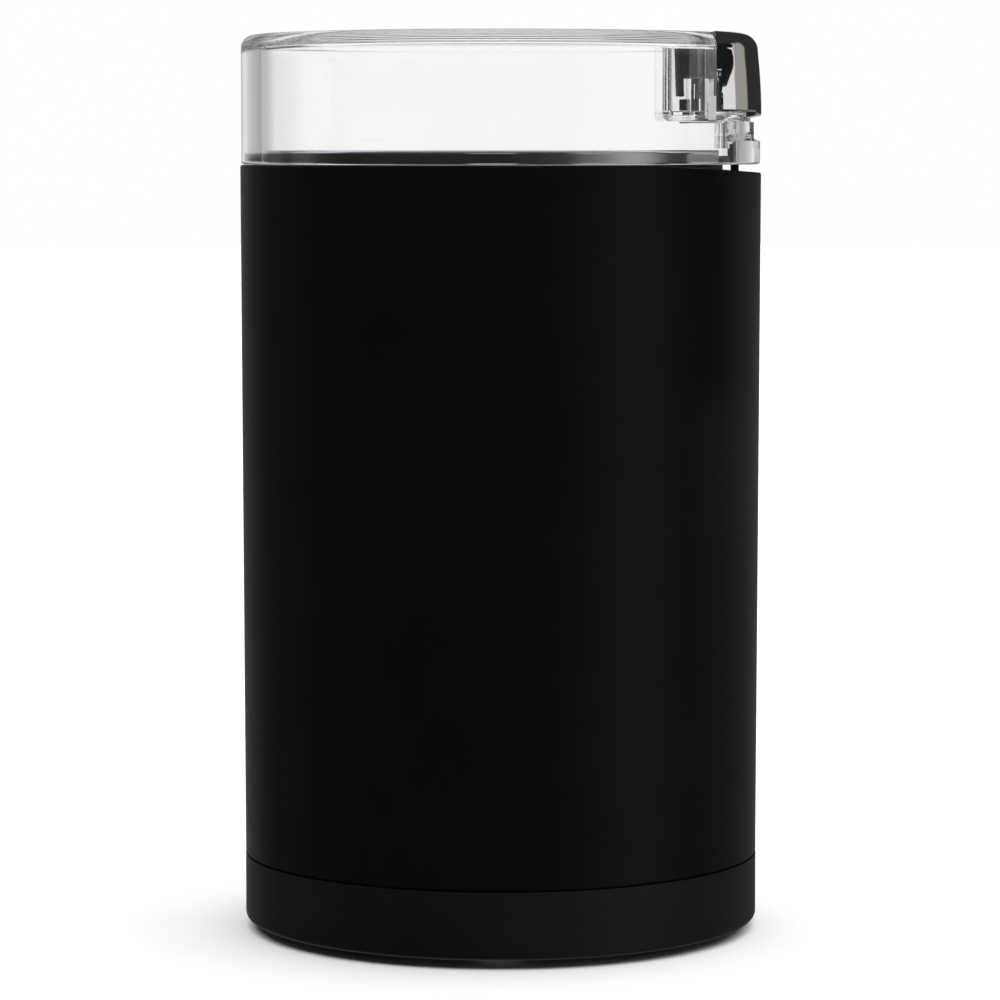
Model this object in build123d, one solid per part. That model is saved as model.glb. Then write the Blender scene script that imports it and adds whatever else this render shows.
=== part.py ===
from build123d import *
import math
import os

# Electric blade spice grinder. Millimetres, +Z up, origin on the worktop under the middle of the body.
# -Y is the front, +X is the side with the press button, +Y is the rear with the cord inlet.

os.makedirs("parts", exist_ok=True)

# ---------------------------------------------------------------- driving dimensions
R_TOP = 47.0          # sleeve, outside radius at its top edge
R_SEAM = 46.57        # sleeve, outside radius at the seam with the base
SLEEVE_WALL = 1.8
Z_SLEEVE_TOP = 138.45
Z_SEAM = 13.9         # lower edge of the sleeve
SEAM_GAP = 0.3
R_BASE = 46.6
Z_BASE = 1.6          # underside of the base ring, above the worktop
DIP = 1.37            # how far the sleeve's rim dips under the button
DIP_R = 550.0         # radius of that dip, seen from +X

R_LID = 46.8
LID_WALL = 3.6
Z_LID = 138.55        # lower edge of the lid
Z_LID_TOP = 161.7
LID_TOP_T = 2.2
LID_EDGE_R = 2.4

R_BOWL = 38.5         # grinding bowl, inside radius
BOWL_T = 0.8
Z_RIM = 141.1         # top of the bowl's rolled rim
R_RIM = 42.9          # outside of the rolled rim
Z_BOWL = 95.0         # inside floor of the bowl
BOWL_R = 17.2         # inside corner radius

X_CHORD = 37.4        # straight inner edge of the button's outer part
BTN_HALF = 27.6       # half width of the button
BTN_LOW = 27.0        # half width of the lower skirt
Z_STEP = 154.7        # where the skirt narrows
X_TONGUE = 30.4       # inner end of the button's tongue
TONGUE_HALF = 11.0
Z_BTN = 162.0
Z_SKIRT = 146.9       # lower edge of the button's skirt
LIP_HALF = 12.5       # half width of the thumb lip, where the skirt reaches lowest
Z_SIDE = 147.85       # lower edge of the skirt beside the lip
BTN_TRAVEL = 1.7
ROD_X = 42.3          # push rod and switch plunger
ROD_R = 1.6
Z_POCKET = 147.8      # floor of the button's pocket in the lid
POCKET_T = 1.6
Z_BLOCK = 141.4       # underside of the rod's guide block
ROD_FIT = 0.08        # running clearance of the rods, on the radius
PIN_R = 0.75          # the plunger's thin upper pin
Z_PIN = 142.2         # its top, just below the push rod

SHAFT_R = 3.0
POST_R = 38.0         # pitch radius of the three base screws
DAMPER_R = 36.0       # pitch radius of the three motor mounts
FOOT_R = 35.0         # pitch radius of the four feet

POST_AZ = (30, 150, 270)
DAMPER_AZ = (90, 210, 330)
FOOT_AZ = (45, 135, 225, 315)
CC = (Align.CENTER, Align.CENTER, Align.MIN)


# ---------------------------------------------------------------- helpers
def rod(r, z0, z1, x=0.0, y=0.0):
    return Pos(x, y, z0) * Cylinder(r, z1 - z0, align=CC)


def tube(ro, ri, z0, z1, x=0.0, y=0.0):
    return rod(ro, z0, z1, x, y) - rod(ri, z0 - 1, z1 + 1, x, y)


def block(x0, x1, y0, y1, z0, z1):
    return Pos((x0 + x1) / 2, (y0 + y1) / 2, (z0 + z1) / 2) * Box(x1 - x0, y1 - y0, z1 - z0)


def at(az, r):
    a = math.radians(az)
    return r * math.cos(a), r * math.sin(a)


def turned(points, radii=None, arc=360.0, start=0.0):
    """A solid of revolution about Z from (radius, z) points, with an optional fillet at each."""
    if radii:
        line = FilletPolyline(*points, radius=radii, close=True)
    else:
        line = Polyline(*points, close=True)
    face = make_face(Plane.XZ * line)
    solid = revolve(face, Axis.Z, revolution_arc=arc)
    return Rot(0, 0, start) * solid if start else solid


def sector(ro, ri, z0, z1, az, half):
    return turned([(ri, z0), (ro, z0), (ro, z1), (ri, z1)], arc=2 * half, start=az - half)


def rounded_prism(x0, x1, half, r, z0, z1):
    sk = Pos((x0 + x1) / 2, 0) * RectangleRounded(x1 - x0, 2 * half, r)
    return Pos(0, 0, z0) * extrude(sk, z1 - z0)


def coil(x, y, z0, z1, r_mean, r_wire, turns):
    """A compression spring with its end turns inside z0..z1."""
    h = z1 - z0 - 2 * r_wire
    path = Helix(h / turns, h, r_mean)
    prof = Plane(origin=path @ 0, z_dir=path % 0) * Circle(r_wire)
    return Pos(x, y, z0 + r_wire) * sweep(prof, path=path)


def lead(points, r=0.9):
    """An insulated lead: straight runs joined by tangent arcs."""
    pts = [Vector(*p) for p in points]
    radii = []
    for a, b, c in zip(pts, pts[1:], pts[2:]):
        turn = math.radians((b - a).get_angle(c - b))
        radii.append(0.45 * min((b - a).length, (c - b).length) / math.tan(turn / 2))
    path = FilletPolyline(*points, radius=radii)
    d = (pts[1] - pts[0]).normalized()
    tube_ = sweep(Plane(origin=pts[0], z_dir=d) * Circle(r), path=path)
    print("lead radii", [round(x, 1) for x in radii], "volume ratio", round(tube_.volume / (path.length * math.pi * r * r), 4))
    return tube_


def save(name, *shapes):
    solids = []
    for s in shapes:
        solids += list(s.solids())
    part = solids[0] if len(solids) == 1 else Compound(children=solids)
    export_step(part, f"parts/{name}.step")


# the shallow dip in the rim under the button
dip_edge = Wire([
    ThreePointArc((-44, Z_SLEEVE_TOP - DIP + 44**2 / (2 * DIP_R)), (0, Z_SLEEVE_TOP - DIP), (44, Z_SLEEVE_TOP - DIP + 44**2 / (2 * DIP_R))).edge(),
    *Polyline((44, Z_SLEEVE_TOP - DIP + 44**2 / (2 * DIP_R)), (44, Z_SLEEVE_TOP + 8), (-44, Z_SLEEVE_TOP + 8), (-44, Z_SLEEVE_TOP - DIP + 44**2 / (2 * DIP_R))).edges(),
])
dip_cut = Pos(4, 0, 0) * extrude(Plane.YZ * Face(dip_edge), 60)

# ---------------------------------------------------------------- outer sleeve
r_in_top, r_in_seam = R_TOP - SLEEVE_WALL, R_SEAM - SLEEVE_WALL
outer_sleeve = turned([
    (r_in_seam, Z_SEAM), (R_SEAM - 0.15, Z_SEAM), (R_SEAM, Z_SEAM + 0.15),
    (R_TOP, Z_SLEEVE_TOP - 0.4), (R_TOP - 0.4, Z_SLEEVE_TOP), (r_in_top, Z_SLEEVE_TOP),
])
outer_sleeve -= dip_cut
save("outer_sleeve", outer_sleeve)

# ---------------------------------------------------------------- base ring, bottom plate, feet, screws, cord grommet
CORD_Z = 8.9
z_top = Z_SEAM - SEAM_GAP
ring = turned(
    [(41.9, 5.4), (41.9, 4.2), (43.0, 4.2), (43.0, Z_BASE), (R_BASE, Z_BASE), (R_BASE, z_top), (45.7, z_top), (45.7, Z_SEAM), (44.72, Z_SEAM), (44.72, 18.0), (43.0, 18.0), (43.0, 5.4)],
    [0, 0, 0, 0.3, 1.2, 0.2, 0, 0, 0, 0.4, 0.4, 0],
)
ring -= Pos(0, 40, CORD_Z) * Rot(-90, 0, 0) * Cylinder(3.6, 12, align=CC)
ring -= Pos(0, 40.8, CORD_Z) * Rot(-90, 0, 0) * Cylinder(4.7, 1.8, align=CC)     # seat of the grommet's flange
save("base_ring", ring)

Z_PLATE = 4.2
base = turned([(0, 1.8), (42.8, 1.8), (42.8, Z_PLATE), (0, Z_PLATE)], [0, 0.4, 0, 0])
for az in POST_AZ:
    x, y = at(az, POST_R)
    base -= rod(1.8, 0, 25, x, y)
    base -= rod(3.5, 0, 3.2, x, y)
for az in FOOT_AZ:
    x, y = at(az, FOOT_R)
    base -= rod(5.1, 0, 2.8, x, y)
for i in range(12):                     # air inlet slots below the fan
    slot = extrude(Rot(0, 0, 15 + 30 * i) * (Pos(15.5, 0) * SlotOverall(11.0, 2.4)), 10)
    base -= slot
base += block(-13, -10.4, 26, 36, 4.0, 8.0) + block(10.4, 13, 26, 36, 4.0, 8.0)      # cradle for the terminal block
base += block(-40.5, -38.4, -9, 9, 4.0, 9.0) + block(-27.6, -25.9, -9, 9, 4.0, 9.0)  # cradle for the capacitor
save("bottom_plate", base)

feet = [turned([(0, 0), (4.7, 0), (5.0, 0.3), (5.0, 2.8), (0, 2.8)]) for _ in FOOT_AZ]
save("rubber_feet", *[Pos(*at(az, FOOT_R), 0) * f for az, f in zip(FOOT_AZ, feet)])

screws = []
for az in POST_AZ:
    x, y = at(az, POST_R)
    s = rod(3.2, 2.0, 3.2, x, y) + rod(1.5, 3.2, 26, x, y)
    s -= block(x - 2.0, x + 2.0, y - 0.4, y + 0.4, 1.9, 2.9) + block(x - 0.4, x + 0.4, y - 2.0, y + 2.0, 1.9, 2.9)
    screws.append(s)
save("base_screws", *screws)

grommet = turned([(2.6, 0), (4.55, 0), (4.55, 1.4), (3.55, 1.4), (3.55, 5.4), (2.6, 5.4)], [0.3, 0.3, 0.3, 0, 0.3, 0.3])
grommet = Pos(0, 41.2, CORD_Z) * Rot(-90, 0, 0) * grommet
save("cord_grommet", grommet)

# ---------------------------------------------------------------- top collar with the plunger's guide
collar = turned([
    (39.6, 126), (45.12, 126), (45.12, 138.2), (41.8, 138.2), (41.8, 140.1), (39.6, 140.1),
])
collar -= block(39.4, 60, -30, 30, 138.2, 150)
collar -= dip_cut - (rod(41.8, 120, 160) & block(-60, 39.4, -60, 60, 120, 160))       # the inner ridge stays at full height, away from the button
channel = block(40.2, 46, -5.4, -3.2, 106, 127) + block(40.2, 46, 3.2, 5.4, 106, 127) + block(39.9, 46, -5.4, 5.4, 106, 110)
collar += channel & rod(44.6, 100, 130)
collar -= rod(PIN_R + ROD_FIT, 120, 145, ROD_X, 0) + rod(1.5 + ROD_FIT, 100, 112, ROD_X, 0)
save("top_collar", collar)

# ---------------------------------------------------------------- inner frame that carries the bowl and the motor
frame = rod(44.4, 86, 89) + turned([(5.2, 89), (20, 89), (20, 93.2), (6.9, 93.2), (6.9, 99.2), (5.2, 99.2)])
for az in (60, 180, 300):
    leg = Rot(0, 0, az) * block(41.3, 46, -4.5, 4.5, 88, 126)
    frame += leg & rod(44.5, 80, 130)
for az in POST_AZ:
    x, y = at(az, POST_R)
    frame += rod(3.6, Z_PLATE, 87, x, y)
for az in DAMPER_AZ:
    x, y = at(az, DAMPER_R)
    frame += rod(3.4, 80.2, 87, x, y)
frame -= rod(5.2, 80, 100)
for az in POST_AZ:
    x, y = at(az, POST_R)
    frame -= rod(1.55, 3, 30, x, y)
for az in DAMPER_AZ:
    x, y = at(az, DAMPER_R)
    frame -= rod(1.3, 79, 87.5, x, y)
for az in (75, 105, 195, 225, 285, 315):   # cooling air holes
    x, y = at(az, 31.0)
    frame -= rod(3.2, 80, 92, x, y)
frame -= Rot(0, 0, 13.5) * block(38.8, 42.0, -5.6, 1.8, 80, 92)   # slot for the switch leads
save("inner_frame", frame)

# ---------------------------------------------------------------- grinding bowl and its fixings
ro = R_BOWL + BOWL_T
cr = BOWL_R + BOWL_T
cx = R_BOWL - BOWL_R
cz = Z_BOWL + BOWL_R
k = math.sqrt(0.5)
edges = [
    *Polyline((7.2, Z_BOWL), (7.2, Z_BOWL - BOWL_T), (cx, Z_BOWL - BOWL_T)).edges(),
    ThreePointArc((cx, Z_BOWL - BOWL_T), (cx + cr * k, cz - cr * k), (ro, cz)).edge(),
    *Polyline((ro, cz), (ro, Z_RIM - BOWL_T), (R_RIM - BOWL_T, Z_RIM - BOWL_T), (R_RIM - BOWL_T, 138.7), (R_RIM, 138.7), (R_RIM, Z_RIM - 0.7)).edges(),
    ThreePointArc((R_RIM, Z_RIM - 0.7), (R_RIM - 0.7 + 0.7 * k, Z_RIM - 0.7 + 0.7 * k), (R_RIM - 0.7, Z_RIM)).edge(),
    Line((R_RIM - 0.7, Z_RIM), (R_BOWL + 0.7, Z_RIM)).edge(),
    ThreePointArc((R_BOWL + 0.7, Z_RIM), (R_BOWL + 0.7 - 0.7 * k, Z_RIM - 0.7 + 0.7 * k), (R_BOWL, Z_RIM - 0.7)).edge(),
    Line((R_BOWL, Z_RIM - 0.7), (R_BOWL, cz)).edge(),
    ThreePointArc((R_BOWL, cz), (cx + BOWL_R * k, cz - BOWL_R * k), (cx, Z_BOWL)).edge(),
    Line((cx, Z_BOWL), (7.2, Z_BOWL)).edge(),
]
bowl = revolve(Plane.XZ * Face(Wire(edges)), Axis.Z)
bowl -= block(36.6, 60, -30, 30, 138, 145) - rod(39.5, 130, 150)      # the rim is trimmed back where the push rod passes
save("grinding_bowl", bowl)

save("bowl_gasket", tube(19.5, 7.3, 93.2, Z_BOWL - BOWL_T))

nut = rod(11.5, Z_BOWL, Z_BOWL + 3.4)
nut = chamfer(nut.edges().group_by(Axis.Z)[-1], 0.8)
nut -= rod(6.95, 90, 105)
for i in range(6):
    x, y = at(60 * i + 30, 12.0)
    nut -= rod(1.8, 90, 105, x, y)
save("bowl_nut", nut)

seal = turned([(3.06, 92), (5.15, 92), (5.15, 99.2), (6.4, 99.2), (6.4, 100.0), (5.2, 100.4), (3.06, 100.4)])
save("shaft_seal", seal)

# ---------------------------------------------------------------- motor, fixed parts
bracket = rod(29, 74, 76) + rod(9, 75, 84)
for az in DAMPER_AZ:
    x, y = at(az, DAMPER_R)
    arm = Rot(0, 0, az) * block(24, DAMPER_R, -7, 7, 74, 76)
    bracket += arm + rod(7, 74, 76, x, y)
for az in (90, 270):
    bracket += sector(28.6, 24.6, 64, 74.5, az, 20)
for az in (0, 60, 120, 180, 240, 300):
    x, y = at(az, 17.5)
    bracket -= rod(4.2, 70, 80, x, y)
for az in DAMPER_AZ:
    x, y = at(az, DAMPER_R)
    bracket -= rod(3.6, 70, 80, x, y)
bracket -= rod(6.0, 77, 90) + rod(3.5, 70, 90)
for az in (90, 270):
    bracket -= rod(1.7, 60, 80, *at(az, 26.8))
save("motor_upper_bracket", bracket)

lower = rod(29, 17, 19.5) + rod(8, 12, 19)
for az in (90, 270):
    lower += sector(28.6, 24.6, 19, 40, az, 20)
lower += block(13, 27, -4.6, 4.6, 19, 23.4) + block(-27, -13, -4.6, 4.6, 19, 23.4)
lower -= rod(5.5, 13, 25) + rod(3.5, 10, 25)
for az in (45, 135, 225, 315):
    x, y = at(az, 17.5)
    lower -= rod(4.5, 15, 22, x, y)
for az in (90, 270):
    lower -= rod(1.7, 10, 45, *at(az, 26.8))
save("motor_lower_bracket", lower)

save("upper_bearing", turned([(3.04, 77), (5.6, 77), (6.0, 77.6), (6.0, 83.4), (5.6, 84), (3.04, 84)]))
save("lower_bearing", turned([(3.04, 13), (5.1, 13), (5.5, 13.5), (5.5, 19.0), (5.1, 19.5), (3.04, 19.5)]))

core = tube(29, 24.4, 40, 64)
for az in (90, 270):
    core += Rot(0, 0, az - 90) * block(-10, 10, 17, 25.5, 40, 64)
    core += sector(18.2, 16.2, 40, 64, az, 60)
core -= rod(16.2, 30, 70)
core -= block(27.6, 40, -30, 30, 30, 70) + block(-40, -27.6, -30, 30, 30, 70)
for az in (90, 270):
    core -= rod(1.7, 30, 70, *at(az, 26.8))
save("stator_core", core)

coils = []
for az in (90, 270):
    c = sector(24.1, 18.5, 36, 68, az, 57)
    c = c - Rot(0, 0, az - 90) * block(-10.3, 10.3, 10, 30, 39.6, 64.4)
    coils.append(c)
save("field_coils", *coils)

holders, brushes, bsprings = [], [], []
for s in (1, -1):
    a = 0 if s > 0 else 180
    h = block(10.6, 30, -4.4, 4.4, 23.4, 33.0) - block(10, 28.8, -3.2, 3.2, 24.6, 31.8)
    holders.append(Rot(0, 0, a) * h)
    b = block(9.3, 20.0, -3.1, 3.1, 24.7, 31.7) - rod(9.3, 20, 40)
    brushes.append(Rot(0, 0, a) * b)
    sp = Pos(20.0, 0, 28.2) * Rot(0, 90, 0) * coil(0, 0, 0, 8.8, 2.2, 0.3, 5)
    bsprings.append(Rot(0, 0, a) * sp)
save("brush_holders", *holders)
save("carbon_brushes", *brushes)
save("brush_springs", *bsprings)

bolts = []
for az in (90, 270):
    x, y = at(az, 26.8)
    bolts.append(rod(3.0, 14.4, 17, x, y) + rod(1.6, 17, 76, x, y) + rod(2.9, 76, 78.2, x, y))
save("motor_bolts", *bolts)

dampers, dscrews = [], []
for az in DAMPER_AZ:
    x, y = at(az, DAMPER_R)
    d = rod(5.6, 76, 80.2, x, y) + rod(3.6, 74, 76, x, y) + rod(5.6, 71.2, 74, x, y) - rod(1.9, 70, 82, x, y)
    dampers.append(d)
    dscrews.append(rod(4.4, 70.2, 71.2, x, y) + rod(2.6, 68.4, 70.2, x, y) + rod(1.25, 71.2, 86.5, x, y))
save("motor_dampers", *dampers)
save("damper_screws", *dscrews)

# ---------------------------------------------------------------- rotor
shaft = rod(SHAFT_R, 5.4, 100.6) + rod(2.4, 100.6, 108.6)
save("motor_shaft", shaft)

arm = rod(15.7, 40, 64) - rod(SHAFT_R, 30, 70)
for i in range(12):
    arm -= Rot(0, 0, 30 * i) * (block(8.5, 13.6, -1.5, 1.5, 30, 70) + block(13, 17, -0.7, 0.7, 30, 70))
save("armature_core", arm)

wind = turned([(5.2, 64), (13.4, 64), (13.8, 66.5), (12.2, 69.5), (6.4, 70)]) + turned([(5.2, 40), (13.4, 40), (13.8, 37.5), (12.2, 34.8), (6.4, 34.4)])
for i in range(12):
    wind += Rot(0, 0, 30 * i) * block(9.0, 13.2, -1.3, 1.3, 39.5, 64.5)
save("armature_windings", wind)

comm = tube(9.0, SHAFT_R, 24.0, 33.0)
for i in range(24):
    comm -= Rot(0, 0, 15 * i + 7.5) * block(8.2, 10, -0.25, 0.25, 23, 34)
comm += tube(9.8, 5.0, 33.0, 34.2)
save("commutator", comm)

fan = tube(4.6, SHAFT_R, 6.0, 11.2) + (tube(18.5, 4.0, 10.4, 11.2))
for i in range(9):
    blade_ = block(4.2, 18.0, -0.5, 0.5, 6.2, 10.6)
    fan += Rot(0, 0, 40 * i) * Pos(0, 1.0, 0) * Rot(0, 0, 4) * blade_
fan &= rod(18.5, 0, 12)
fan -= rod(SHAFT_R, 0, 20)
save("cooling_fan", fan)

save("blade_washer", tube(5.6, 2.5, 100.6, 101.4))

# two-winged blade: a flat hub, one wing raised and one lowered, both edges ground
hub = rod(7.0, 101.4, 103.0)
wing_sk = make_face(Polyline((4.5, -5.4), (11, -5.6), (21, -4.9), (30.4, -1.2), (30.9, 1.6), (29.2, 4.3), (21, 5.3), (11, 5.6), (4.5, 5.4), close=True))
wing = extrude(wing_sk, 1.6)
ground = wing.edges().filter_by(lambda e: abs(e.center().Z - 1.6) < 1e-6 and e.center().X > 10 and (e.center().Y < -2 or e.center().Y > 4.4))
try:
    wing = chamfer(ground, 0.9)
except Exception as err:
    print("blade edge left square:", err)
up = Pos(6.0, 0, 101.4) * Rot(0, -9, 0) * Pos(-6.0, 0, 0) * wing
down = Rot(0, 0, 180) * Pos(6.0, 0, 101.4) * Rot(0, 3, 0) * Pos(-6.0, 0, 0) * wing
blade = hub + up + down
blade -= rod(2.45, 95, 110) + rod(5.8, 95, 101.4) + rod(6.2, 103.0, 110)
save("grinding_blade", blade)

hexa = Pos(0, 0, 103.0) * extrude(RegularPolygon(5.6, 6), 3.6)
cone = turned([(0, 102), (7.2, 102), (7.2, 105.2), (4.6, 107.2), (0, 107.2)])
dome = turned([(0, 105.0), (4.3, 105.0), (4.3, 109.9), (0, 109.9)], [0, 0, 2.6, 0])
capn = (hexa & cone) + dome - rod(2.4, 100, 108.8)
save("blade_nut", capn)

# ---------------------------------------------------------------- lid
lid = turned(
    [(0, Z_LID), (R_LID, Z_LID), (R_LID, Z_LID_TOP), (0, Z_LID_TOP)],
    [0, 0.5, LID_EDGE_R, 0],
) - turned(
    [(0, Z_LID - 1), (R_LID - LID_WALL, Z_LID - 1), (R_LID - LID_WALL, Z_LID_TOP - LID_TOP_T), (0, Z_LID_TOP - LID_TOP_T)],
    [0, 0, 1.0, 0],
)
body_of_lid = turned([(0, Z_LID), (R_LID, Z_LID), (R_LID, Z_LID_TOP), (0, Z_LID_TOP)], [0, 0.5, LID_EDGE_R, 0])
pocket_out = block(X_CHORD - 0.3 - 1.5, 60, -(BTN_HALF + 1.9), BTN_HALF + 1.9, Z_POCKET - POCKET_T, Z_LID_TOP)
pocket_out += rounded_prism(X_TONGUE - 0.4 - 1.5, X_CHORD + 6, TONGUE_HALF + 1.9, 2.0, Z_POCKET - POCKET_T, Z_LID_TOP)
lid += pocket_out & body_of_lid
pocket_in = block(X_CHORD - 0.3, 60, -(BTN_HALF + 0.4), BTN_HALF + 0.4, Z_POCKET, 170)
pocket_in += rounded_prism(X_TONGUE - 0.4, X_CHORD + 6, TONGUE_HALF + 0.4, 0.6, Z_POCKET, 170)
lid -= pocket_in
recess = turned([(45.0, 143.5), (50, 141.3), (50, 150), (45.0, 150)], [1.4, 0, 0, 0]) & block(0, 60, -13, 13, 130, 160)      # finger notch under the lip
recess += turned([(45.0, Z_SIDE - BTN_TRAVEL - 0.1), (50, Z_SIDE - BTN_TRAVEL - 0.1), (50, 150), (45.0, 150)]) & block(0, 60, -(BTN_HALF + 0.4), BTN_HALF + 0.4, 130, 160)
lid -= recess
lid += block(39.2, 44.0, -3.3, 3.3, Z_BLOCK, Z_POCKET - 0.5)
lid -= rod(ROD_R + ROD_FIT, 130, 160, ROD_X, 0)
lid -= rod(2.2, 130, 146.0, ROD_X, 0)
save("lid_shell", lid)

# ---------------------------------------------------------------- press button, push rod, clip and spring
plan = block(X_CHORD, 60, -BTN_HALF, BTN_HALF, 130, 170) + rounded_prism(X_TONGUE, X_CHORD + 6, TONGUE_HALF, 0.8, 130, 170)
skin = turned(
    [(0, Z_SKIRT), (45.4, Z_SKIRT), (R_TOP, Z_SKIRT + 0.35), (46.35, 158.4), (46.35, Z_BTN), (0, Z_BTN)],
    [0, 0.2, 0.35, 0, 3.4, 0],
)
button = skin & plan
plan_in = block(X_CHORD + 1.4, 60, -(BTN_HALF - 1.4), BTN_HALF - 1.4, 130, Z_BTN - 1.7) + rounded_prism(X_TONGUE + 1.4, X_CHORD + 8, TONGUE_HALF - 1.4, 0.6, 130, Z_BTN - 1.7)
core_in = turned([(0, 140), (45.4, 140), (45.4, 150), (45.1, 156.0), (45.05, Z_BTN - 1.7), (0, Z_BTN - 1.7)])
button -= core_in & plan_in
button -= block(20, X_CHORD + 1.4, -30, 30, 140, 150.6)                 # the tongue's walls stop short of the pocket floor
button -= block(30, 44.5, -30, 30, 140, 151.0) & rod(45.4, 140, 151)
arch = Pos((X_TONGUE + 1.4 + X_CHORD + 1.4) / 2, 0, 148.95) * Rot(90, 0, 0) * extrude(RectangleRounded(X_CHORD - X_TONGUE, 10.2, 0.9), 15, both=True)
button -= arch                                                            # an arch in each side wall of the tongue
for s in (1, -1):                                                         # below the step only the curved skirt goes on
    y0, y1 = sorted((s * 10.9, s * 30))
    button -= block(X_CHORD - 0.1, X_CHORD + 1.05, y0, y1, 140, Z_STEP)
    button -= block(X_CHORD - 0.1, X_CHORD + 1.5, *sorted((s * 10.9, s * 24.5)), 140, Z_STEP)
    y0, y1 = sorted((s * BTN_LOW, s * 30))
    button -= block(30, 60, y0, y1, 140, Z_STEP)
    y0, y1 = sorted((s * LIP_HALF, s * 30))
    button -= block(30, 60, y0, y1, 140, Z_SIDE)
button += rod(1.95, 154.0, Z_BTN - 1.6, ROD_X, 0)
button -= rod(ROD_R, 150, 158.0, ROD_X, 0)
save("press_button", button)

push = rod(ROD_R, Z_PIN + 0.6, 158.0, ROD_X, 0) + rod(1.1, Z_PIN + 0.4, Z_PIN + 0.6, ROD_X, 0)
push += rod(1.9, 144.9, 145.8, ROD_X, 0)        # stop collar, rests under the step of the bore
save("push_rod", push)
save("button_spring", coil(ROD_X, 0, Z_POCKET + 0.08, Z_BTN - 1.8, 2.22, 0.2, 6.5))

# ---------------------------------------------------------------- switch plunger, its spring, switch and lever
TIP_Z = 102.68
plunger = rod(1.5, TIP_Z + 1.5, 124.6, ROD_X, 0) + Pos(ROD_X, 0, TIP_Z + 1.5) * Sphere(1.5) + rod(2.5, 124.4, 125.8, ROD_X, 0)
plunger += Pos(ROD_X, 0, 0) * turned([(0, 125.6), (PIN_R, 125.6), (PIN_R, Z_PIN), (0, Z_PIN)], [0, 0, 0.2, 0])
save("switch_plunger", plunger)
save("plunger_spring", coil(ROD_X, 0, 110.05, 124.35, 2.05, 0.2, 7))

SW = Rot(0, 0, 13.5)
switch = SW * (block(37.6, 43.3, -9.8, 10.0, 89.0, 98.0) - block(37.0, 43.9, -3.4, -1.4, 91, 93) - block(37.0, 43.9, 5.0, 7.0, 91, 93))
switch += SW * (block(39.4, 41.4, 2.2, 3.8, 97.9, 98.8))
switch += SW * (block(37.9, 39.0, 7.3, 8.7, 97.9, 99.9) + block(41.9, 43.0, 7.3, 8.7, 97.9, 99.9))
switch -= SW * (Pos(36, 8.0, 99.0) * Rot(0, 90, 0) * Cylinder(0.45, 10, align=CC))
save("micro_switch", switch)
sw_screws = []
for t in (-2.4, 6.0):
    sw_screws.append(SW * (Pos(37.6, t, 92.0) * Rot(0, 90, 0) * Cylinder(0.95, 5.6, align=CC) + Pos(36.4, t, 92.0) * Rot(0, 90, 0) * Cylinder(1.7, 1.2, align=CC)))
save("switch_screws", *sw_screws)
HINGE = (8.0, 99.0)
LEVER_DEG = 10.5
arm_ = block(39.3, 41.7, -19.4, -0.2, -0.25, 0.25) + Pos(38.0, 0, 0) * Rot(0, 90, 0) * Cylinder(0.4, 4.9, align=CC) + block(39.3, 41.6, -0.9, 0.1, -0.25, 0.25)
lever = SW * Pos(0, HINGE[0], HINGE[1]) * Rot(-LEVER_DEG, 0, 0) * arm_
save("switch_lever", lever)

# ---------------------------------------------------------------- electrical parts in the base
term = block(-10.2, 10.2, 27, 35, 4.2, 10.8)
for x in (-6.8, 0, 6.8):
    term -= rod(1.7, 8.0, 12, x, 31)
save("terminal_block", term)
cap = block(-38.2, -27.8, -8.8, 8.8, 4.2, 13.8)
cap = fillet(cap.edges().filter_by(Axis.Z), 1.2)
save("suppression_capacitor", cap)

leads = [
    lead([(10.45, 31, 9.4), (15.5, 30.2, 9.5), (22.5, 24.5, 9.1), (27.5, 15.3, 9.3), (33.5, 9.4, 11), (38.6, 8.6, 17), (41.0, 9.5, 30), (41.6, 10.2, 52), (41.2, 10.0, 72), (39.9, 9.5, 82), (39.3, 9.43, 88.8)]),
    lead([(-10.45, 31, 9.4), (-15.5, 30.0, 9.6), (-22.0, 24.5, 10.2), (-28.0, 14.0, 12.5), (-31.8, 8.0, 17.9), (-34.2, 3.6, 24), (-33.6, 0.6, 28.4), (-30.35, 0.0, 29.2)]),
    lead([(17.6, 12.3, 68.4), (18.6, 12.8, 71.0), (24.5, 13.6, 71.9), (32.0, 10.6, 72.6), (37.4, 7.0, 76.5), (39.8, 5.7, 82.5), (40.2, 5.54, 88.8)]),
]
save("internal_leads", *leads)
print("written", len(os.listdir("parts")), "parts")
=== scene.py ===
import math

import bmesh
import bpy
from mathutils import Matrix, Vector


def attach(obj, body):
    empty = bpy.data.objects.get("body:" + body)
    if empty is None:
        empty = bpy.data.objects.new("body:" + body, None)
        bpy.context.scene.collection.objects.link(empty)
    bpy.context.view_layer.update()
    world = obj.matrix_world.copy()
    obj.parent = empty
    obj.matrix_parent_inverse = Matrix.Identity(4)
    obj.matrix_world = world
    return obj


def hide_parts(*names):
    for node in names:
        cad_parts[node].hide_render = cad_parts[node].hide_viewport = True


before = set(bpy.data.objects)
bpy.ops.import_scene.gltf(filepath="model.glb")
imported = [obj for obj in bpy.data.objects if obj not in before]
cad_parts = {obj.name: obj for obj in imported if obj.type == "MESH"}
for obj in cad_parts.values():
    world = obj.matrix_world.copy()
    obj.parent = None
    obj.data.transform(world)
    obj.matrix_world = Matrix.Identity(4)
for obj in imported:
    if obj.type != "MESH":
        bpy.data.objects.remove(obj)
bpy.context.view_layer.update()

MM = 0.001
SEG = 360
scene = bpy.context.scene
scene.view_settings.view_transform = "Standard"
scene.view_settings.look = "None"
# light goes round inside the lid's thick walls many times before it leaves
scene.cycles.max_bounces = 48
scene.cycles.glossy_bounces = 40
scene.cycles.transmission_bounces = 48

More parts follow.
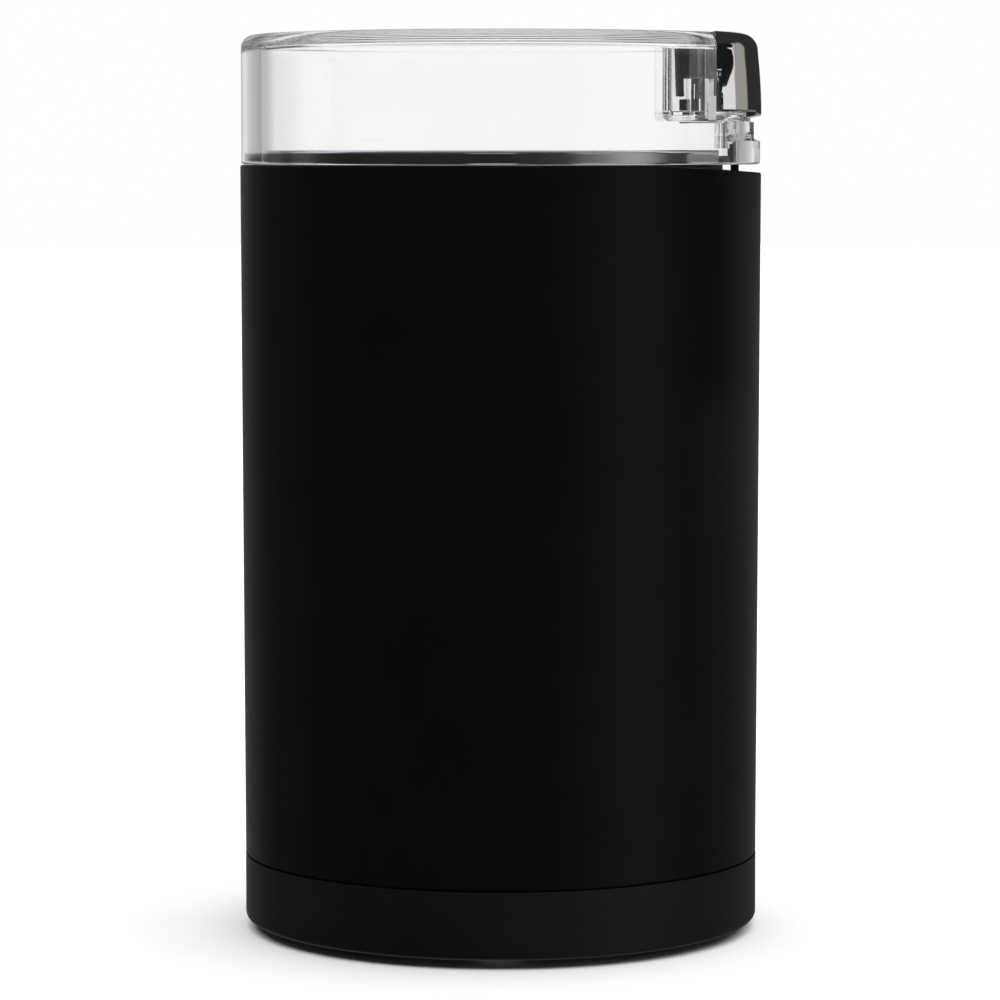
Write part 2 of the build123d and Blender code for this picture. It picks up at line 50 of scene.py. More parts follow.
# ---------------------------------------------------------------- the construction's sizes, in mm
R_TOP, R_SEAM, SLEEVE_WALL = 47.0, 46.57, 1.8
Z_TOP, Z_SEAM = 138.45, 13.9
R_BASE, Z_BASE = 46.6, 1.6
DIP, DIP_R = 1.37, 550.0
R_LID, LID_IN, Z_LID, Z_LID_TOP, LID_TOP_T, LID_EDGE = 46.8, 43.2, 138.55, 161.7, 2.2, 2.4
R_BOWL, BOWL_T, Z_RIM, R_RIM, Z_BOWL, BOWL_R = 38.5, 0.8, 141.1, 42.9, 95.0, 17.2
X_CHORD, BTN_HALF, BTN_LOW, Z_STEP = 37.4, 27.6, 27.0, 154.7
X_TONGUE, TONGUE_HALF, Z_BTN, Z_SKIRT = 30.4, 11.0, 162.0, 146.9
ROD_X, ROD_R, Z_POCKET, POCKET_T, Z_BLOCK = 42.3, 1.6, 147.8, 1.6, 141.4
LIP_HALF, Z_SIDE, TRAVEL = 12.5, 147.85, 1.7


# ---------------------------------------------------------------- mesh helpers
def rounded(points, n=8):
    """Corners (a, b[, fillet]) of a closed outline, with each fillet sampled as an arc."""
    out = []
    for i, p in enumerate(points):
        f = p[2] if len(p) > 2 else 0.0
        if not f:
            out.append((p[0], p[1]))
            continue
        c = Vector(p[:2])
        a = (Vector(points[i - 1][:2]) - c).normalized()
        b = (Vector(points[(i + 1) % len(points)][:2]) - c).normalized()
        half = a.angle(b) / 2
        d = f / math.tan(half)
        t0, t1 = c + a * d, c + b * d
        m = c + (a + b).normalized() * (f / math.sin(half))
        a0, a1 = math.atan2(t0.y - m.y, t0.x - m.x), math.atan2(t1.y - m.y, t1.x - m.x)
        da = (a1 - a0 + math.pi) % (2 * math.pi) - math.pi
        for k in range(n + 1):
            t = a0 + da * k / n
            out.append((m.x + f * math.cos(t), m.y + f * math.sin(t)))
    return out


def new_object(name, bm):
    me = bpy.data.meshes.new(name)
    bm.to_mesh(me)
    bm.free()
    o = bpy.data.objects.new(name, me)
    scene.collection.objects.link(o)
    return o


def lathe(name, outline, seg=SEG, x=0.0, y=0.0):
    """A closed outline of (radius, z) turned about Z."""
    bm = bmesh.new()
    rings = []
    for r, z in outline:
        if r < 1e-6:
            rings.append([bm.verts.new((x * MM, y * MM, z * MM))])
        else:
            rings.append([bm.verts.new(((x + r * math.cos(2 * math.pi * k / seg)) * MM, (y + r * math.sin(2 * math.pi * k / seg)) * MM, z * MM)) for k in range(seg)])
    for i in range(len(rings)):
        a, b = rings[i], rings[(i + 1) % len(rings)]
        if len(a) == 1 and len(b) == 1:
            continue
        for k in range(seg):
            m = (k + 1) % seg
            if len(a) == 1:
                bm.faces.new((a[0], b[m], b[k]))
            elif len(b) == 1:
                bm.faces.new((a[k], a[m], b[0]))
            else:
                bm.faces.new((a[k], a[m], b[m], b[k]))
    bmesh.ops.recalc_face_normals(bm, faces=bm.faces)
    return new_object(name, bm)


def prism(name, outline, z0, z1, plane="XY", at=0.0):
    """A closed outline extruded. plane XY: along Z from z0 to z1; XZ: along Y; YZ: along X."""
    def place(a, b, h):
        v = {"XY": (a, b, h), "XZ": (a, h, b), "YZ": (h, a, b)}[plane]
        return (v[0] * MM, v[1] * MM, v[2] * MM)
    bm = bmesh.new()
    lo = [bm.verts.new(place(a, b, z0)) for a, b in outline]
    hi = [bm.verts.new(place(a, b, z1)) for a, b in outline]
    n = len(outline)
    for k in range(n):
        m = (k + 1) % n
        bm.faces.new((lo[k], lo[m], hi[m], hi[k]))
    bm.faces.new(list(reversed(lo)))
    bm.faces.new(hi)
    bmesh.ops.recalc_face_normals(bm, faces=bm.faces)
    return new_object(name, bm)


def tub(name, corners, z0, z1, r, n=8):
    """Corners (x, y, radius, inset x, inset y) extruded upwards, with the edge round its underside rounded by r."""
    bm = bmesh.new()
    rows = []
    steps = [(r * (1 - math.sin(t * math.pi / 2 / n)), z0 + r * (1 - math.cos(t * math.pi / 2 / n))) for t in range(n + 1)] + [(0.0, z1)]
    for d, z in steps:
        outline = rounded([(x + ix * d, y + iy * d, max(f - d, 0.0) if f else 0.0) for x, y, f, ix, iy in corners], 10)
        rows.append([bm.verts.new((a * MM, b * MM, z * MM)) for a, b in outline])
    m = len(rows[0])
    for lo, hi in zip(rows, rows[1:]):
        for k in range(m):
            bm.faces.new((lo[k], lo[(k + 1) % m], hi[(k + 1) % m], hi[k]))
    bm.faces.new(list(reversed(rows[0])))
    bm.faces.new(rows[-1])
    bmesh.ops.recalc_face_normals(bm, faces=bm.faces)
    return new_object(name, bm)


def block(name, x0, x1, y0, y1, z0, z1, r=0.0, n=6):
    return prism(name, rounded([(x0, y0, r), (x1, y0, r), (x1, y1, r), (x0, y1, r)], n), z0, z1)


def rod(name, r, z0, z1, x=0.0, y=0.0, seg=64):
    return lathe(name, [(0, z0), (r, z0), (r, z1), (0, z1)], seg, x, y)


def bake(o):
    """Turns an object's modifiers into its mesh."""
    dg = bpy.context.evaluated_depsgraph_get()
    me = bpy.data.meshes.new_from_object(o.evaluated_get(dg), preserve_all_data_layers=True, depsgraph=dg)
    old = o.data
    o.modifiers.clear()
    o.data = me
    me.name = o.name
    bpy.data.meshes.remove(old)


def combine(o, tool, how):
    m = o.modifiers.new("b", "BOOLEAN")
    m.operation = how
    m.solver = "EXACT"
    m.object = tool
    bake(o)
    me = tool.data
    bpy.data.objects.remove(tool)
    bpy.data.meshes.remove(me)
    return o


def minus(o, *tools):
    for t in tools:
        combine(o, t, "DIFFERENCE")
    return o


def plus(o, *tools):
    for t in tools:
        combine(o, t, "UNION")
    return o


def common(o, tool):
    return combine(o, tool, "INTERSECT")


def close_seams(bm, reach=0.002):
    """Splits an open edge where the end of another open edge lies on it, so that the two sides join."""
    for _ in range(40):
        hit = None
        edges = [e for e in bm.edges if e.is_boundary]
        verts = sorted({v for e in edges for v in e.verts}, key=lambda v: tuple(v.co))
        for e in edges:
            a, b = e.verts
            d = b.co - a.co
            for v in verts:
                if v in (a, b) or d.length_squared == 0.0:
                    continue
                t = (v.co - a.co).dot(d) / d.length_squared
                if 0.001 < t < 0.999 and (a.co + d * t - v.co).length < reach * MM:
                    hit = (e, a, v, t)
                    break
            if hit:
                break
        if not hit:
            return
        e, a, v, t = hit
        new = bmesh.utils.edge_split(e, a, t)[1]
        new.co = v.co.copy()
        bmesh.ops.weld_verts(bm, targetmap={new: v})


def tidy(o, merge=0.002):
    bm = bmesh.new()
    bm.from_mesh(o.data)
    bmesh.ops.remove_doubles(bm, verts=bm.verts, dist=merge * MM)
    bmesh.ops.dissolve_degenerate(bm, edges=bm.edges, dist=merge * MM)
    close_seams(bm)
    bmesh.ops.recalc_face_normals(bm, faces=bm.faces)
    bm.to_mesh(o.data)
    bm.free()


def shade(o, angle=28.0, bevel=0.0, bevel_angle=35.0, segments=2):
    """Smooth shading with crisp corners; an optional small bevel on the sharp edges."""
    if bevel:
        b = o.modifiers.new("bevel", "BEVEL")
        b.width = bevel * MM
        b.segments = segments
        b.limit_method = "ANGLE"
        b.angle_limit = math.radians(bevel_angle)
        b.use_clamp_overlap = True
        b.miter_outer = "MITER_ARC"
        bake(o)
    me = o.data
    me.polygons.foreach_set("use_smooth", [True] * len(me.polygons))
    me.set_sharp_from_angle(angle=math.radians(angle))
    w = o.modifiers.new("weighted", "WEIGHTED_NORMAL")
    w.keep_sharp = True
    w.weight = 50
    return o


def dip(y):
    return max(0.0, DIP - y * y / (2 * DIP_R))


def lower_rim(o, top, reach):
    """Pulls the vertices above reach down by the rim's dip on the button's side."""
    for v in o.data.vertices:
        x, y, z = v.co.x / MM, v.co.y / MM, v.co.z / MM
        if x > 4 and z > reach:
            v.co.z = min(z, z - dip(y) + max(0.0, top - z) * 0.0) * MM


# ---------------------------------------------------------------- material helpers
class Mat:
    def __init__(self, name, **sockets):
        self.m = bpy.data.materials.new(name)
        self.m.use_nodes = True
        self.t = self.m.node_tree
        self.n = self.t.nodes
        self.b = self.n["Principled BSDF"]
        for k, v in sockets.items():
            self.b.inputs[k.replace("_", " ")].default_value = v
        self.obj = self.n.new("ShaderNodeTexCoord").outputs["Object"]

    def link(self, a, b):
        self.t.links.new(a, b)

    def math(self, op, a, b=None, clamp=False):
        n = self.n.new("ShaderNodeMath")
        n.operation = op
        n.use_clamp = clamp
        for i, v in enumerate((a, b)):
            if v is None:
                continue
            if isinstance(v, (int, float)):
                n.inputs[i].default_value = v
            else:
                self.link(v, n.inputs[i])
        return n.outputs[0]

    def noise(self, scale, detail=3.0, rough=0.55, vector=None, distortion=0.0, out="Fac"):
        n = self.n.new("ShaderNodeTexNoise")
        n.inputs["Scale"].default_value = scale
        n.inputs["Detail"].default_value = detail
        n.inputs["Roughness"].default_value = rough
        n.inputs["Distortion"].default_value = distortion
        self.link(vector or self.obj, n.inputs["Vector"])
        return n.outputs[out]

    def voronoi(self, scale, vector=None, feature="F1", out="Distance"):
        n = self.n.new("ShaderNodeTexVoronoi")
        n.feature = feature
        n.inputs["Scale"].default_value = scale
        self.link(vector or self.obj, n.inputs["Vector"])
        return n.outputs[out]

    def spread(self, fac, lo, hi, a, b):
        n = self.n.new("ShaderNodeMapRange")
        n.inputs["From Min"].default_value = lo
        n.inputs["From Max"].default_value = hi
        n.inputs["To Min"].default_value = a
        n.inputs["To Max"].default_value = b
        self.link(fac, n.inputs["Value"])
        return n.outputs["Result"]

    def mix(self, fac, a, b, kind="MIX"):
        n = self.n.new("ShaderNodeMix")
        n.data_type = "RGBA"
        n.blend_type = kind
        self.link(fac, n.inputs["Factor"])
        for s, v in ((n.inputs[6], a), (n.inputs[7], b)):
            if isinstance(v, (tuple, list)):
                s.default_value = (*v[:3], 1)
            else:
                self.link(v, s)
        return n.outputs[2]

    def bump(self, height, strength=0.3, distance=0.05, normal=None):
        n = self.n.new("ShaderNodeBump")
        n.inputs["Strength"].default_value = strength
        n.inputs["Distance"].default_value = distance * MM
        self.link(height, n.inputs["Height"])
        if normal is not None:
            self.link(normal, n.inputs["Normal"])
        return n.outputs["Normal"]

    def polar(self, turns=1.0, kr=1.0, kz=1.0):
        """Object coordinates as (angle x turns, radius x kr, z x kz), for turned and brushed surfaces."""
        s = self.n.new("ShaderNodeSeparateXYZ")
        self.link(self.obj, s.inputs[0])
        x, y, z = s.outputs
        r = self.math("SQRT", self.math("ADD", self.math("MULTIPLY", x, x), self.math("MULTIPLY", y, y)))
        a = self.math("MULTIPLY", self.math("ARCTAN2", y, x), turns)
        c = self.n.new("ShaderNodeCombineXYZ")
        self.link(a, c.inputs[0])
        self.link(self.math("MULTIPLY", r, kr), c.inputs[1])
        self.link(self.math("MULTIPLY", z, kz), c.inputs[2])
        return c.outputs[0]

    def set(self, socket, value):
        self.link(value, self.b.inputs[socket])
        return self


def plastic(name, color, light, rough, grain=2200.0, depth=0.02, strength=0.25, spec=0.5, smudge=0.06):
    m = Mat(name, Specular_IOR_Level=spec)
    fine = m.noise(grain, 2.0, 0.6)
    broad = m.noise(18.0, 4.0, 0.6)
    specks = m.voronoi(grain * 0.55)
    m.set("Base Color", m.mix(m.spread(m.noise(55.0, 5.0, 0.7), 0.3, 0.75, 0.0, 1.0), color, light))
    r = m.math("ADD", m.spread(fine, 0.25, 0.75, rough - 0.04, rough + 0.05), m.spread(broad, 0.3, 0.7, -smudge / 2, smudge / 2))
    m.set("Roughness", r)
    h = m.math("ADD", fine, m.math("MULTIPLY", specks, 0.5))
    m.set("Normal", m.bump(h, strength, depth))
    return m.m


def metal(name, color, dark, rough, brushed=0.0, turns=2.0, fine=9000.0, spread=0.06, wear=0.02):
    m = Mat(name, Metallic=1.0)
    if brushed:
        v = m.polar(turns, fine, fine)
        f = m.noise(1.0, 3.0, 0.65, v)
    else:
        f = m.noise(1500.0, 3.0, 0.6)
    cloud = m.noise(45.0, 4.0, 0.6)
    m.set("Base Color", m.mix(m.spread(cloud, 0.3, 0.7, 0.0, 1.0), color, dark))
    m.set("Roughness", m.math("ADD", m.spread(f, 0.3, 0.7, rough - spread / 2, rough + spread / 2), m.spread(cloud, 0.35, 0.75, 0.0, wear)))
    if brushed:
        m.set("Normal", m.bump(f, brushed, 0.01))
    else:
        m.set("Normal", m.bump(f, 0.06, 0.006))
    return m.m


# ---------------------------------------------------------------- materials
SLEEVE = plastic("sleeve_black", (0.0022, 0.0022, 0.0023), (0.0032, 0.0032, 0.0034), 0.38, grain=2600.0, depth=0.03, strength=0.35, spec=0.15)
BASE = plastic("base_black", (0.0050, 0.0050, 0.0052), (0.0072, 0.0072, 0.0076), 0.44, grain=2000.0, depth=0.02, strength=0.25, spec=0.20)
COLLAR = plastic("collar_black", (0.0030, 0.0030, 0.0032), (0.0044, 0.0044, 0.0046), 0.36, grain=1600.0, depth=0.015, strength=0.2, spec=0.35)
FRAME = plastic("frame_black", (0.012, 0.012, 0.013), (0.020, 0.020, 0.021), 0.48, grain=900.0, depth=0.03, strength=0.3)
BRACKET = plastic("bracket_natural", (0.52, 0.50, 0.44), (0.60, 0.58, 0.52), 0.42, grain=700.0, depth=0.03, strength=0.2)
CAPACITOR = plastic("moulded_off_white", (0.62, 0.61, 0.57), (0.70, 0.69, 0.66), 0.35, grain=900.0)
LEAD = plastic("lead_sleeving", (0.32, 0.03, 0.025), (0.42, 0.05, 0.04), 0.38, grain=1200.0, depth=0.01)
CARBON = plastic("pressed_carbon", (0.018, 0.018, 0.019), (0.035, 0.035, 0.036), 0.5, grain=3000.0, depth=0.02, strength=0.5)
RUBBER = plastic("foot_rubber", (0.010, 0.010, 0.010), (0.020, 0.020, 0.020), 0.72, grain=1500.0, depth=0.03, strength=0.4, spec=0.35)
STEEL = metal("bowl_steel", (0.62, 0.62, 0.63), (0.55, 0.55, 0.57), 0.09, brushed=0.05, turns=3.0, fine=5200.0, spread=0.04, wear=0.03)
BLADE = metal("blade_steel", (0.60, 0.60, 0.61), (0.48, 0.48, 0.50), 0.24, brushed=0.2, turns=9.0, fine=3000.0)
ZINC = metal("zinc_plate", (0.62, 0.62, 0.60), (0.50, 0.50, 0.48), 0.34)
SPRING = metal("spring_wire", (0.46, 0.46, 0.48), (0.36, 0.36, 0.38), 0.28)
SHAFT = metal("ground_shaft", (0.52, 0.52, 0.54), (0.46, 0.46, 0.48), 0.20, brushed=0.1, turns=2.0, fine=6000.0)
BRASS = metal("stamped_brass", (0.78, 0.58, 0.26), (0.62, 0.44, 0.18), 0.30)
BRONZE = metal("sintered_bronze", (0.48, 0.32, 0.17), (0.36, 0.24, 0.13), 0.48)
COPPER_BAR = metal("copper_bars", (0.80, 0.42, 0.26), (0.62, 0.30, 0.18), 0.26, brushed=0.1, turns=2.0, fine=6000.0)


def laminated():
    m = Mat("laminated_steel", Metallic=0.9)
    s = m.n.new("ShaderNodeSeparateXYZ")
    m.link(m.obj, s.inputs[0])
    w = m.math("SINE", m.math("MULTIPLY", s.outputs[2], 2 * math.pi / 0.0006))
    m.set("Base Color", m.mix(m.spread(w, -1, 1, 0, 1), (0.20, 0.20, 0.21), (0.34, 0.34, 0.35)))
    m.set("Roughness", m.spread(m.noise(300.0), 0.3, 0.7, 0.4, 0.6))
    m.set("Normal", m.bump(w, 0.5, 0.06))
    return m.m


def windings():
    m = Mat("enamelled_copper", Metallic=0.6, Coat_Weight=0.4, Coat_Roughness=0.2)
    v = m.polar(1.0, 2600.0, 2600.0)
    n = m.n.new("ShaderNodeTexWave")
    n.inputs["Scale"].default_value = 0.22
    n.inputs["Distortion"].default_value = 1.2
    m.link(v, n.inputs["Vector"])
    w = n.outputs["Fac"]
    m.set("Base Color", m.mix(w, (0.30, 0.09, 0.03), (0.62, 0.24, 0.10)))
    m.set("Roughness", m.spread(m.noise(400.0), 0.3, 0.7, 0.26, 0.42))
    m.set("Normal", m.bump(w, 0.6, 0.08))
    return m.m


LAMINATED = laminated()
WINDING = windings()


def chrome():
    m = Mat("chrome_plate", Metallic=1.0)
    cloud = m.noise(70.0, 4.0, 0.6)
    fine = m.noise(900.0, 2.0, 0.5)
    m.set("Base Color", m.mix(m.spread(cloud, 0.3, 0.7, 0.0, 1.0), (0.80, 0.80, 0.82), (0.74, 0.74, 0.76)))
    m.set("Roughness", m.math("ADD", m.spread(fine, 0.3, 0.7, 0.025, 0.05), m.spread(cloud, 0.55, 0.8, 0.0, 0.035)))
    m.set("Normal", m.bump(m.noise(160.0, 2.0, 0.4), 0.05, 0.02))
    return m.m


def clear(name, tint=(0.999, 0.998, 0.994), tint2=(0.991, 0.990, 0.985), ior=1.49, edge=False):
    m = Mat(name, Transmission_Weight=1.0, IOR=ior)
    cloud = m.noise(30.0, 3.0, 0.5)
    color = m.mix(m.spread(cloud, 0.3, 0.7, 0.0, 1.0), tint, tint2)
    rough = m.math("ADD", m.spread(m.noise(420.0, 4.0, 0.7), 0.45, 0.8, 0.0, 0.012), m.spread(cloud, 0.5, 0.8, 0.0, 0.01))
    if edge:        # the rounded edge round the top is a little satin, and its colour there is tinted bluish as a painted reflection
        s = m.n.new("ShaderNodeSeparateXYZ")
        m.link(m.obj, s.inputs[0])
        x, y, z = s.outputs
        r = m.math("SQRT", m.math("ADD", m.math("MULTIPLY", x, x), m.math("MULTIPLY", y, y)))
        out = m.math("MULTIPLY", m.math("SUBTRACT", r, 0.0442), 2500.0, clamp=True)
        up = m.math("MULTIPLY", m.math("SUBTRACT", z, 0.1588), 2000.0, clamp=True)
        band = m.math("MULTIPLY", out, up)
        # painted reflection: the edge band's colour is tinted bluish, standing in for the pale blue light it reflects
        color = m.mix(band, color, (0.965, 0.98, 1.0))
        rough = m.math("ADD", rough, m.math("MULTIPLY", band, 0.085))
    m.set("Base Color", color)
    m.set("Roughness", rough)
    m.set("Normal", m.bump(m.noise(95.0, 2.0, 0.4), 0.012, 0.02))
    return m.m


CHROME = chrome()
CLEAR = clear("clear_plastic", edge=True)
CLEAR_ROD = clear("clear_rod", (0.96, 0.97, 0.99), (0.93, 0.95, 0.97))


def finish(o, body, slot, material, *nodes):
    o.data.materials.clear()
    o.data.materials.append(material)
    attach(o, body)
    if nodes:
        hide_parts(*nodes)
    return o


# ---------------------------------------------------------------- outer sleeve
ri0, ri1 = R_SEAM - SLEEVE_WALL, R_TOP - SLEEVE_WALL
outline = rounded([(ri0, Z_SEAM), (R_SEAM, Z_SEAM, 0.18), (R_TOP, Z_TOP, 0.4), (ri1, Z_TOP, 0.2)], 6)
sleeve = lathe("sleeve_skin", outline, 512)
lower_rim(sleeve, Z_TOP, 130)
shade(sleeve, 40)
finish(sleeve, "housing", "sleeve_plastic", SLEEVE, "outer_sleeve")

# ---------------------------------------------------------------- base ring
z_top = Z_SEAM - 0.3
outline = rounded([
    (41.9, 5.4), (41.9, 4.2), (43.0, 4.2), (43.0, Z_BASE, 0.3), (R_BASE, Z_BASE, 1.2), (R_BASE, z_top, 0.2), (45.7, z_top), (45.7, Z_SEAM - 0.01),
    (44.72, Z_SEAM - 0.01), (44.72, 18.0, 0.4), (43.0, 18.0, 0.4), (43.0, 5.4),
], 6)
ring = lathe("base_ring_skin", outline, 512)
hole = lathe("t", [(0, 0), (3.6, 0), (3.6, 12), (0, 12)], 64)
hole.rotation_euler = (math.radians(-90), 0, 0)
hole.location = (0, 0.040, 0.0089)
bpy.context.view_layer.update()
minus(ring, hole)
tidy(ring)
shade(ring, 40)
finish(ring, "housing", "base_plastic", BASE, "base_ring")

# ---------------------------------------------------------------- bowl with its rolled rim
ro = R_BOWL + BOWL_T
outline = rounded([
    (7.2, Z_BOWL), (7.2, Z_BOWL - BOWL_T), (ro, Z_BOWL - BOWL_T, BOWL_R + BOWL_T), (ro, Z_RIM - BOWL_T, 0.2), (R_RIM - BOWL_T, Z_RIM - BOWL_T, 0.2),
    (R_RIM - BOWL_T, 138.7, 0.2), (R_RIM, 138.7, 0.2), (R_RIM, Z_RIM, 0.7), (R_BOWL, Z_RIM, 0.7), (R_BOWL, Z_BOWL, BOWL_R),
], 16)
bowl = lathe("bowl_skin", outline, 512)
minus(bowl, minus(block("t", 36.6, 60, -30, 30, 138, 145), rod("t", 39.5, 130, 150, seg=512)))
tidy(bowl)
shade(bowl, 40)
finish(bowl, "housing", "bowl_steel", STEEL, "grinding_bowl")

# ---------------------------------------------------------------- lid
lid = lathe("lid_skin", rounded([
    (LID_IN, Z_LID, 0.25), (R_LID, Z_LID, 0.5), (R_LID, Z_LID_TOP, LID_EDGE), (0, Z_LID_TOP), (0, Z_LID_TOP - LID_TOP_T), (LID_IN, Z_LID_TOP - LID_TOP_T, 1.0),
], 10), 480)
clip = lathe("t", [(0, 140), (45.0, 140), (45.0, 160.6), (0, 160.6)], 480)
xo, yo = X_CHORD - 0.3 - 1.5, BTN_HALF + 1.9
pocket = tub("t", [(xo, -yo, 1.6, 1, 1), (70, -yo, 0, 0, 1), (70, yo, 0, 0, -1), (xo, yo, 1.6, 1, -1)], Z_POCKET - POCKET_T, 164, 1.3)
tx, ty = X_TONGUE - 1.9, TONGUE_HALF + 1.9
tongue = tub("t", [(tx, -ty, 2.0, 1, 1), (50, -ty, 0, 0, 1), (50, ty, 0, 0, -1), (tx, ty, 2.0, 1, -1)], Z_POCKET - POCKET_T, 163, 1.3)
pocket = common(plus(pocket, tongue), clip)
plus(lid, pocket)
xi, yi = X_CHORD - 0.3, BTN_HALF + 0.4
inner = tub("t", [(xi, -yi, 0.5, 1, 1), (80, -yi, 0, 0, 1), (80, yi, 0, 0, -1), (xi, yi, 0.5, 1, -1)], Z_POCKET, 170, 0.3, 3)
tx, ty = X_TONGUE - 0.4, TONGUE_HALF + 0.4
tongue = tub("t", [(tx, -ty, 0.6, 1, 1), (50, -ty, 0, 0, 1), (50, ty, 0, 0, -1), (tx, ty, 0.6, 1, -1)], Z_POCKET, 171, 0.3, 3)
minus(lid, plus(inner, tongue))
recess = lathe("t", rounded([(45.0, 143.5, 1.4), (50, 141.3), (50, 150), (45.0, 150)], 8), 480)
minus(lid, common(recess, block("t", 0, 60, -13, 13, 130, 160, 0.01)))
z_step = Z_SIDE - TRAVEL - 0.1
ledge = lathe("t", rounded([(45.0, z_step, 0.25), (50, z_step), (50, 150.5), (45.0, 150.5)], 4), 480)
minus(lid, common(ledge, block("t", 0, 60, -yi, yi, 129, 161)))
plus(lid, block("t", 39.2, 44.0, -3.3, 3.3, Z_BLOCK, Z_POCKET - 0.5, 0.4))
minus(lid, rod("t", ROD_R + 0.08, 130, 160, ROD_X, 0), rod("t", 2.2, 130, 146.0, ROD_X, 0))
tidy(lid)
shade(lid, 30)
finish(lid, "lid", "clear_plastic", CLEAR, "lid_shell")

# ---------------------------------------------------------------- press button
face = [(47.0 - 0.65 * (t / 11.15) ** 2, Z_SKIRT + 0.35 + t) for t in (1.0, 2.0, 3.0, 4.0, 5.0, 6.0, 7.0, 8.0, 9.0, 10.0)]
skin = lathe("button_skin", rounded([(0, Z_SKIRT), (45.4, Z_SKIRT, 0.2), (47.0, Z_SKIRT + 0.35, 0.35), *face, (46.35, 158.6), (46.25, Z_BTN, 3.2), (0, Z_BTN)], 14), 720)
plan = plus(
    block("t", X_CHORD, 60, -BTN_HALF, BTN_HALF, 130, 170, 0.01),
    prism("t", rounded([(X_TONGUE, -TONGUE_HALF, 0.8), (46, -TONGUE_HALF), (46, TONGUE_HALF), (X_TONGUE, TONGUE_HALF, 0.8)], 12), 129, 171),
)
button = common(skin, plan)
core = lathe("t", [(0, 130), (45.4, 130), (45.4, 150), (45.1, 156), (45.05, Z_BTN - 1.7), (0, Z_BTN - 1.7)], 360)
plan = plus(
    block("t", X_CHORD + 1.4, 60, -(BTN_HALF - 1.4), BTN_HALF - 1.4, 120, 170, 0.01),
    prism("t", rounded([(X_TONGUE + 1.4, -TONGUE_HALF + 1.4, 0.6), (46, -TONGUE_HALF + 1.4), (46, TONGUE_HALF - 1.4), (X_TONGUE + 1.4, TONGUE_HALF - 1.4, 0.6)], 8), 119, 171),
)
minus(button, common(core, plan))
minus(button, block("t", 20, X_CHORD + 1.4, -35, 35, 135, 150.6))
arch = rounded([(X_TONGUE + 1.4, 143.85, 0.9), (X_CHORD + 1.4, 143.85, 0.9), (X_CHORD + 1.4, 154.05, 0.9), (X_TONGUE + 1.4, 154.05, 0.9)], 6)
minus(button, prism("t", arch, -15, 15, "XZ"))
for s in (1, -1):
    y0, y1 = sorted((s * 10.9, s * 30))
    minus(button, block("t", X_CHORD - 0.1, X_CHORD + 1.05, y0, y1, 135, Z_STEP))
    y0, y1 = sorted((s * 10.9, s * 24.5))
    minus(button, block("t", X_CHORD - 0.2, X_CHORD + 1.5, y0, y1, 134, Z_STEP))
    y0, y1 = sorted((s * BTN_LOW, s * 31))
    minus(button, block("t", 30, 60, y0, y1, 136, Z_STEP))
    y0, y1 = sorted((s * LIP_HALF, s * 32))
    minus(button, block("t", 29, 61, y0, y1, 137, Z_SIDE))
plus(button, lathe("t", [(ROD_R, 154.0), (1.95, 154.0), (1.95, Z_BTN - 1.0), (ROD_R, Z_BTN - 1.0)], 48, ROD_X, 0))
for v in button.data.vertices:      # the tongue's inner wall leans a little, as moulded
    if v.co.x < (X_TONGUE + 1.6) * MM:
        v.co.x += max(0.0, Z_BTN * MM - v.co.z) * 0.04
tidy(button)
shade(button, 30, bevel=0.12, bevel_angle=50, segments=2)
finish(button, "button", "chrome", CHROME, "press_button")

# ---------------------------------------------------------------- finishes of the construction's own nodes
FINISH = {
    "bottom_plate": BASE, "rubber_feet": RUBBER, "base_screws": ZINC, "cord_grommet": RUBBER, "top_collar": COLLAR, "inner_frame": FRAME,
    "bowl_gasket": RUBBER, "bowl_nut": FRAME, "shaft_seal": RUBBER, "motor_upper_bracket": BRACKET, "motor_lower_bracket": BRACKET,
    "upper_bearing": BRONZE, "lower_bearing": BRONZE, "stator_core": LAMINATED, "field_coils": WINDING, "brush_holders": BRASS,
    "carbon_brushes": CARBON, "brush_springs": SPRING, "motor_bolts": ZINC, "motor_dampers": RUBBER, "damper_screws": ZINC,
    "micro_switch": FRAME, "switch_screws": ZINC, "suppression_capacitor": CAPACITOR, "terminal_block": CAPACITOR, "internal_leads": LEAD,
    "plunger_spring": SPRING, "switch_plunger": COLLAR, "switch_lever": SPRING, "motor_shaft": SHAFT, "armature_core": LAMINATED,
    "armature_windings": WINDING, "commutator": COPPER_BAR, "cooling_fan": BRACKET, "blade_washer": ZINC, "grinding_blade": BLADE,
    "blade_nut": FRAME, "button_spring": SPRING, "push_rod": CLEAR_ROD,
}
for name, material in FINISH.items():
    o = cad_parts[name]
    o.data.materials.clear()
    o.data.materials.append(material)
    o.data.polygons.foreach_set("use_smooth", [True] * len(o.data.polygons))
    o.data.set_sharp_from_angle(angle=math.radians(30))
    w = o.modifiers.new("weighted", "WEIGHTED_NORMAL")
    w.keep_sharp = True

# ---------------------------------------------------------------- floor, backdrop, light and camera
def plane(name, size, z, material, front=-1.0):
    bm = bmesh.new()
    vs = [bm.verts.new((x * size, y * size, z)) for x, y in ((-1, front), (1, front), (1, 1), (-1, 1))]
    bm.faces.new(vs)
    o = new_object(name, bm)
    o.data.materials.append(material)
    return o


floor_mat = Mat("floor_white", Roughness=0.9, Specular_IOR_Level=0.1)
floor_mat.set("Base Color", floor_mat.mix(floor_mat.noise(8.0), (0.90, 0.90, 0.90), (0.92, 0.92, 0.92)))
floor = plane("floor", 12.0, 0.0, floor_mat.m)
floor.visible_glossy = False
floor.visible_transmission = False

# the room as glossy things see it: dim, with a wide soft box at the front right and paler sides
world = bpy.data.worlds.new("studio")
scene.world = world
world.use_nodes = True
wt = world.node_tree
wn = wt.nodes
wn.clear()


